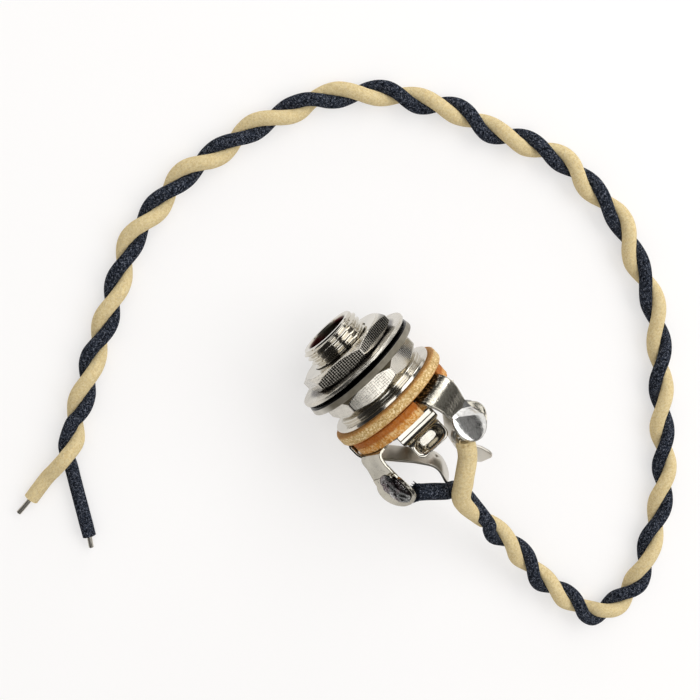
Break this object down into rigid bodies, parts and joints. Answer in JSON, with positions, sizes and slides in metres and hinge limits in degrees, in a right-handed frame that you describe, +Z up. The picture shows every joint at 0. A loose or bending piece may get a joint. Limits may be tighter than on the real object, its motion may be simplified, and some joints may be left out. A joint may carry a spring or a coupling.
{
  "type": "quarter inch phone jack",
  "caption": "Open-frame quarter inch phone jack with hex nuts, washers, fibre insulators, paired leaf contacts and a twisted pair of cloth-covered leads soldered to its lugs.",
  "frame": {"origin": "on the resting surface, under the middle of the jack's length and width, with the leads left out", "axes": "-Y out of the plug hole, +Y to the rear contacts, +Z up, the jack lying on its side"},
  "size_m": [0.0979, 0.0986, 0.019],
  "materials": {
    "nickel": "bright nickel plating on turned brass",
    "plated_steel": "dull zinc plating",
    "plated_lug": "tinned sheet brass",
    "plated_spring": "nickel plated spring strip",
    "solder": "bright solder",
    "tan_fibre": "vulcanised fibre, cut edge",
    "dark_fibre": "vulcanised fibre, coarse cut edge",
    "cream_cloth": "waxed woven cotton",
    "black_cloth": "waxed woven cotton",
    "bare_wire": "tinned copper"
  },
  "bodies": {
    "jack": {"bushing": "nickel", "flange": "nickel", "front_washer": "nickel", "lock_washer": "plated_steel", "rear_washer": "nickel", "rear_nut": "nickel", "front_insulator": "tan_fibre", "tip_lug": "plated_lug", "tip_spring_plate": "plated_spring", "rear_insulator": "dark_fibre", "ground_spring_plate": "plated_spring", "ground_lug": "plated_lug", "tip_solder": "solder", "ground_solder": "solder", "lead_twist": "cream_cloth", "cream_near": "cream_cloth", "black_near": "black_cloth", "cream_far": "cream_cloth", "black_far": "black_cloth", "cream_tip": "bare_wire", "black_tip": "bare_wire"},
    "front_nut": {"front_nut": "nickel"},
    "tip_spring_a": {"tip_spring_a": "plated_spring"},
    "tip_spring_b": {"tip_spring_b": "plated_spring"},
    "ground_spring_a": {"ground_spring_a": "plated_spring"},
    "ground_spring_b": {"ground_spring_b": "plated_spring"}
  },
  "joints": [
    {"name": "front_nut_turn", "type": "hinge", "parent": "jack", "child": "front_nut", "pos_m": [0, -0.0109, 0.00953], "axis": [0, -1, 0], "range_deg": [0, 360]},
    {"name": "tip_spring_a_flex", "type": "hinge", "parent": "jack", "child": "tip_spring_a", "pos_m": [0.00756, 0.00297, 0.00707], "axis": [-0.309, 0, -0.9511], "range_deg": [0, 18], "stiffness_Nm_per_rad": 0.05},
    {"name": "tip_spring_b_flex", "type": "hinge", "parent": "jack", "child": "tip_spring_b", "pos_m": [-0.00768, 0.00308, 0.00703], "axis": [-0.309, 0, 0.9511], "range_deg": [0, 8], "stiffness_Nm_per_rad": 0.05},
    {"name": "ground_spring_a_flex", "type": "hinge", "parent": "jack", "child": "ground_spring_a", "pos_m": [0, 0.00296, 0.01512], "axis": [1, 0, 0], "range_deg": [0, 9], "stiffness_Nm_per_rad": 0.02},
    {"name": "ground_spring_b_flex", "type": "hinge", "parent": "jack", "child": "ground_spring_b", "pos_m": [0, 0.00296, 0.00392], "axis": [-1, 0, 0], "range_deg": [0, 9], "stiffness_Nm_per_rad": 0.02}
  ]
}
